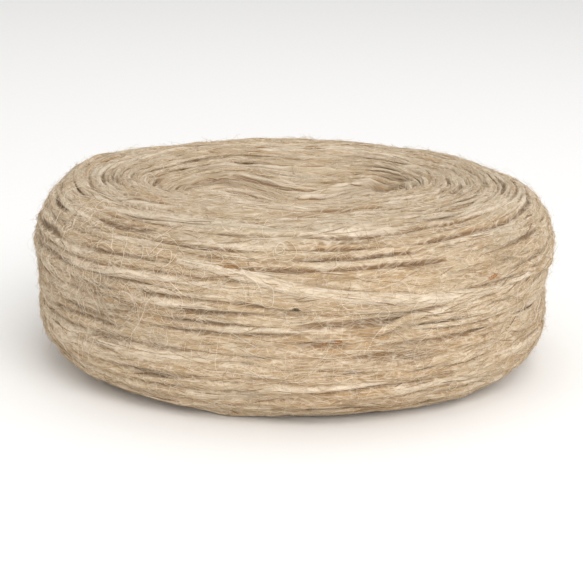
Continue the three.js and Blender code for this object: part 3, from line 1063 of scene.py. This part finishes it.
class WOOLCAKE_OT_wind_turns(bpy.types.Operator):
    """Wind the turns round the underside, up the wall and in over the top to the slit"""

    bl_idname = "woolcake.wind_turns"
    bl_label = "Wind the turns"

    columns = 308
    underside_step, wall_step, top_step, least_step = 1.4 * MM, 0.55 * MM, 0.85 * MM, 0.08 * MM
    past_wall = 6 * MM
    settling = 6 * MM
    flattening = 10 * MM
    closing = 3 * MM
    cleft = 2.4 * MM

    def rows_and_columns(self, skin):
        """Where the mesh's points lie. Its rows stray with the strands, so that they run along the
        grooves, and stay apart."""
        edges = (0, skin.foot_start, skin.wall_end + self.past_wall, skin.length)
        steps = (self.underside_step, self.wall_step, self.top_step)
        parts = [np.arange(a, b - step / 2, step) for a, b, step in zip(edges, edges[1:], steps)]
        along = np.concatenate([*parts, [skin.length]])
        angle = np.linspace(0, FULL_TURN, self.columns, endpoint=False)
        along, angle = np.meshgrid(along, angle, indexing="ij")
        loose = np.clip(np.minimum(along, skin.length - along) / self.settling, 0, 1)
        strayed = along - strand_sway(along, angle) * skin.form.bundle / STRANDS_IN_PAIR * loose
        gaps = np.arange(len(along))[:, None] * self.least_step
        return np.maximum.accumulate(strayed - gaps, axis=0) + gaps, angle

    def execute(self, context):
        skin = Skin(context.scene.wool_cake_form)
        along, angle = self.rows_and_columns(skin)
        height, depth, tone = wound_relief(skin, along, angle)
        underneath = np.clip(1 - (along - skin.foot_start) / self.flattening, 0, 1)
        height = np.where(underneath > 0, np.minimum(height, 1 * MM * (1 - underneath)), height)
        height = height * np.clip((skin.length - along) / self.closing, 0, 1)
        points = skin.point(along, angle) + skin.outward(along, angle) * height[..., None]
        points[0] = (0, 0, 0)
        points[-1] = skin.point(along[-1], angle[-1]) - (0, 0, self.cleft)
        points[..., 2] = np.maximum(points[..., 2], 0)
        ring = np.interp(along, skin.runs, skin.rings)
        # The grain's run is folded where its two ends meet, at the right and the left
        grain = np.stack([np.abs(angle - math.pi) * ring, along, np.zeros_like(ring)], axis=-1)
        attributes = {"grain": grain.reshape(-1, 3), "depth": depth.ravel(), "tone": tone.ravel()}
        mesh = grid_mesh("wound_turns", points, attributes)
        mesh.materials.append(finish("carded_wool_roving", carded_wool))
        piece = bpy.data.objects.new("wound_turns", mesh)
        context.scene.collection.objects.link(piece)
        winding().objects.link(piece)
        keep(piece, stands_for_node=True)
        return {"FINISHED"}


class WOOLCAKE_OT_cross_turns(bpy.types.Operator):
    """Lay stretches of strand aslant over the wound turns, and the last turn down the front"""

    bl_idname = "woolcake.cross_turns"
    bl_label = "Lay the crossing turns"

    def execute(self, context):
        skin = Skin(context.scene.wool_cake_form)
        strand = context.scene.wool_cake_strand
        paths = [*crossing_paths(skin, strand), last_turn_path(skin, strand)]
        strands_piece("crossing_turns", paths, strand.sides)
        return {"FINISHED"}


class WOOLCAKE_OT_lay_wisps(bpy.types.Operator):
    """Lay small locks of fibre along the strands"""

    bl_idname = "woolcake.lay_wisps"
    bl_label = "Lay the wisps"

    pieces = 2

    def execute(self, context):
        skin = Skin(context.scene.wool_cake_form)
        strand = context.scene.wool_cake_strand
        for number in range(self.pieces):
            count = strand.wisps // self.pieces
            along, angle, share, rng = wisp_lines(skin, strand, count, 11 + number)
            lift = (0.12 - 0.34 * share**2 + rng.uniform(-0.08, 0.1, (count, 1))) * MM
            half_width = rng.uniform(0.06, 0.2, (count, 1)) * MM * (1 - 0.75 * share**2)
            tone = np.clip(rng.normal(0.54, 0.28, (count, 1)), 0, 1)
            material = finish("loose_wool_fibres", loose_wool)
            fibres_piece(f"wisps_{number + 1}", skin, along, angle, lift, half_width, tone, material)
        return {"FINISHED"}


class WOOLCAKE_OT_raise_hairs(bpy.types.Operator):
    """Raise single curly fibres out of the strands"""

    bl_idname = "woolcake.raise_hairs"
    bl_label = "Raise the hairs"

    pieces = 3
    segments = 7
    highest = 3.2
    free_from = 12 * MM

    def execute(self, context):
        skin = Skin(context.scene.wool_cake_form)
        strand = context.scene.wool_cake_strand
        for number in range(self.pieces):
            count = strand.hairs // self.pieces
            along, angle, share, rng = hair_lines(skin, strand, count, 31 + number, self.segments)
            height = np.minimum(rng.exponential(0.8, (count, 1)), self.highest)
            # Hairs near the floor are pressed to the cake
            rise = np.clip(skin.point(along, angle)[..., 2] / self.free_from, 0.05, 1)
            lift = (0.08 + height * rise * share**1.3 + rng.normal(0, 0.07, share.shape)) * MM
            half_width = rng.uniform(0.045, 0.09, (count, 1)) * MM * (1 - 0.6 * share)
            tone = np.clip(rng.normal(0.7, 0.25, (count, 1)), 0, 1)
            material = finish("loose_wool_fibres", loose_wool)
            fibres_piece(f"hairs_{number + 1}", skin, along, angle, lift, half_width, tone, material)
        return {"FINISHED"}


class WOOLCAKE_OT_loop_hairs(bpy.types.Operator):
    """Lay long pale fibres in loops, many of them on the left of the wall"""

    bl_idname = "woolcake.loop_hairs"
    bl_label = "Loop the long hairs"

    segments = 15
    middling_reach = 22 * MM
    bend_all, bend_each = math.radians(22), math.radians(13)
    # Where the photographed cake has its loops: the middle and the spread, in millimetres and degrees
    share_gathered = 0.4
    gathered_height, gathered_angle = (46, 10), (224, 17)

    def execute(self, context):
        skin = Skin(context.scene.wool_cake_form)
        rng = np.random.default_rng(61)
        count = context.scene.wool_cake_strand.long_hairs
        along, angle = places(skin, rng, count, 0.6)
        gathered = rng.random(count) < self.share_gathered
        height = rng.normal(*self.gathered_height, count) * MM
        along = np.where(gathered, skin.along_at(height), along)
        angle = np.where(gathered, np.radians(rng.normal(*self.gathered_angle, count)), angle)
        reach = self.middling_reach * np.exp(rng.normal(0, 0.35, (count, 1)))
        heading = rng.uniform(0, FULL_TURN, (count, 1))
        curl = rng.normal(0, self.bend_all, (count, 1))
        curl = curl + rng.normal(0, self.bend_each, (count, self.segments))
        ahead, aside, share = curled(heading + np.cumsum(curl, axis=1), reach, self.segments)
        along, angle = laid(skin, along, angle, ahead, aside)
        bowed = np.sin(share * math.pi) * rng.uniform(0.1, 1.3, (count, 1))
        lift = (0.15 + bowed) * MM
        half_width = rng.uniform(0.08, 0.12, (count, 1)) * MM * (1 - 0.5 * np.abs(2 * share - 1))
        material = finish("loose_wool_fibres", loose_wool)
        fibres_piece("long_hairs", skin, along, angle, lift, half_width, 1.0, material)
        return {"FINISHED"}


class WOOLCAKE_OT_catch_flecks(bpy.types.Operator):
    """Add the tufts of stained wool and bits of plant that are caught in the wool"""

    bl_idname = "woolcake.catch_flecks"
    bl_label = "Catch the flecks"

    fibres = 50

    def tuft(self, skin, rng, fleck):
        """The lines of one fleck's fibres, which lie along the turn."""
        middle = skin.along_at(fleck["height"] * MM)
        scale = np.array([fleck["length"], fleck["width"]]) * MM / 2
        spots = rng.normal(0, 0.42, (self.fibres, 2)) * scale
        reach = rng.uniform(0.5, 1.0, (self.fibres, 1)) * scale[0]
        share = np.linspace(-1, 1, 5)[None, :]
        slant = np.tan(np.radians(rng.normal(0, 16, (self.fibres, 1))))
        bow = rng.normal(0, 0.25, (self.fibres, 1)) * scale[1] * share**2
        ahead = spots[:, :1] + share * reach * 0.6
        aside = spots[:, 1:] + share * reach * 0.6 * slant + bow
        angle = math.radians(fleck["angle"]) + ahead / skin.form.radius
        return middle + aside, angle, share * np.ones_like(ahead)

    def execute(self, context):
        skin = Skin(context.scene.wool_cake_form)
        colours = context.scene.wool_cake_colours
        kinds = {"dry_plant": colours.fleck, "rusty_wool": colours.stain, "brown_wool": colours.rust}
        for kind, colour in kinds.items():
            rng = np.random.default_rng(3)
            tufts = [self.tuft(skin, rng, fleck) for fleck in FLECKS if fleck["kind"] == kind]
            along, angle, share = (np.concatenate(part) for part in zip(*tufts))
            lift = (rng.uniform(-0.05, 0.25, (len(share), 1)) - 0.2 * share**2) * MM
            half_width = 0.11 * MM * (1 - 0.7 * share**2)
            material = finish(kind, caught_bit, colour[:])
            fibres_piece("flecks_" + kind, skin, along, angle, lift, half_width, 0.5, material)
        return {"FINISHED"}


def aim(item, target, roll=0.0):
    """Turns an object so that it looks at a point."""
    look = (Vector(target) - item.location).to_track_quat("-Z", "Y").to_matrix().to_4x4()
    item.rotation_euler = (look @ Matrix.Rotation(roll, 4, "Z")).to_euler()


class WOOLCAKE_OT_set_stage(bpy.types.Operator):
    """Lay the floor and set the lights and the photograph's camera"""

    bl_idname = "woolcake.set_stage"
    bl_label = "Set the stage"

    floor_half = 3.0
    sky_strength = 0.74
    lights = (
        {"name": "key", "place": (0.45, -0.95, 0.95), "size": 0.9, "power": 9.5},
        {"name": "fill", "place": (0.1, -1.1, 0.1), "size": 0.7, "power": 3.5},
        {"name": "top", "place": (0.1, 0.4, 1.3), "size": 1.0, "power": 3},
    )
    # The cake's middle lies a little above and right of the picture's middle
    aside, below = 1.0 * MM, 11.7 * MM

    def execute(self, context):
        scene = context.scene
        middle = scene.wool_cake_form.height / 2
        self.add_floor(scene)
        self.add_lights(scene, middle)
        self.add_camera(scene, scene.wool_cake_stage, middle)
        return {"FINISHED"}

    def add_floor(self, scene):
        mesh = bpy.data.meshes.new("studio_floor")
        half = self.floor_half
        corners = [(-half, -half, 0), (half, -half, 0), (half, half, 0), (-half, half, 0)]
        mesh.from_pydata(corners, [], [(0, 1, 2, 3)])
        mesh.materials.append(finish("studio_board", studio_board))
        floor = bpy.data.objects.new("studio_floor", mesh)
        scene.collection.objects.link(floor)

    def add_lights(self, scene, middle):
        world = bpy.data.worlds.new("soft_white")
        world.use_nodes = True
        world.node_tree.nodes["Background"].inputs["Color"].default_value = (1, 1, 1, 1)
        world.node_tree.nodes["Background"].inputs["Strength"].default_value = self.sky_strength
        scene.world = world
        for row in self.lights:
            light = bpy.data.lights.new(row["name"], "AREA")
            light.size = row["size"]
            light.energy = row["power"]
            item = bpy.data.objects.new(row["name"], light)
            item.location = row["place"]
            aim(item, (0, 0, middle))
            scene.collection.objects.link(item)
        scene.view_settings.view_transform = "Standard"

    def add_camera(self, scene, stage, middle):
        camera = bpy.data.cameras.new("photo_camera")
        camera.sensor_width = 36
        camera.lens = camera.sensor_width * stage.distance / stage.frame_width
        camera.clip_start, camera.clip_end = 0.01, 20
        item = bpy.data.objects.new("photo_camera", camera)
        back = stage.distance * math.cos(stage.elevation)
        item.location = (0, -back, middle + stage.distance * math.sin(stage.elevation))
        aim(item, (-self.aside, 0, middle - self.below), stage.roll)
        scene.collection.objects.link(item)
        scene.camera = item


OPERATORS = (
    WOOLCAKE_OT_wind_turns,
    WOOLCAKE_OT_cross_turns,
    WOOLCAKE_OT_lay_wisps,
    WOOLCAKE_OT_raise_hairs,
    WOOLCAKE_OT_loop_hairs,
    WOOLCAKE_OT_catch_flecks,
    WOOLCAKE_OT_set_stage,
)


class WOOLCAKE_PT_panel(bpy.types.Panel):
    """The cake's steps, in order"""

    bl_idname = "WOOLCAKE_PT_panel"
    bl_label = "Wool Cake"
    bl_space_type = "VIEW_3D"
    bl_region_type = "UI"
    bl_category = "Wool Cake"

    def draw(self, context):
        for step in OPERATORS:
            self.layout.operator(step.bl_idname)
        for name, group in SETTINGS.items():
            box = self.layout.box()
            box.label(text=group.__doc__)
            for key in group.__annotations__:
                box.prop(getattr(context.scene, name), key)


CLASSES = (*SETTINGS.values(), *OPERATORS, WOOLCAKE_PT_panel)


def register():
    for item in CLASSES:
        bpy.utils.register_class(item)
    for name, group in SETTINGS.items():
        setattr(bpy.types.Scene, name, bpy.props.PointerProperty(type=group))


def unregister():
    for name in SETTINGS:
        delattr(bpy.types.Scene, name)
    for item in reversed(CLASSES):
        bpy.utils.unregister_class(item)


def main():
    register()
    bpy.ops.woolcake.set_stage()
    bpy.ops.woolcake.wind_turns()
    bpy.ops.woolcake.cross_turns()
    bpy.ops.woolcake.lay_wisps()
    bpy.ops.woolcake.raise_hairs()
    bpy.ops.woolcake.loop_hairs()
    bpy.ops.woolcake.catch_flecks()


if __name__ == "__main__":
    main()
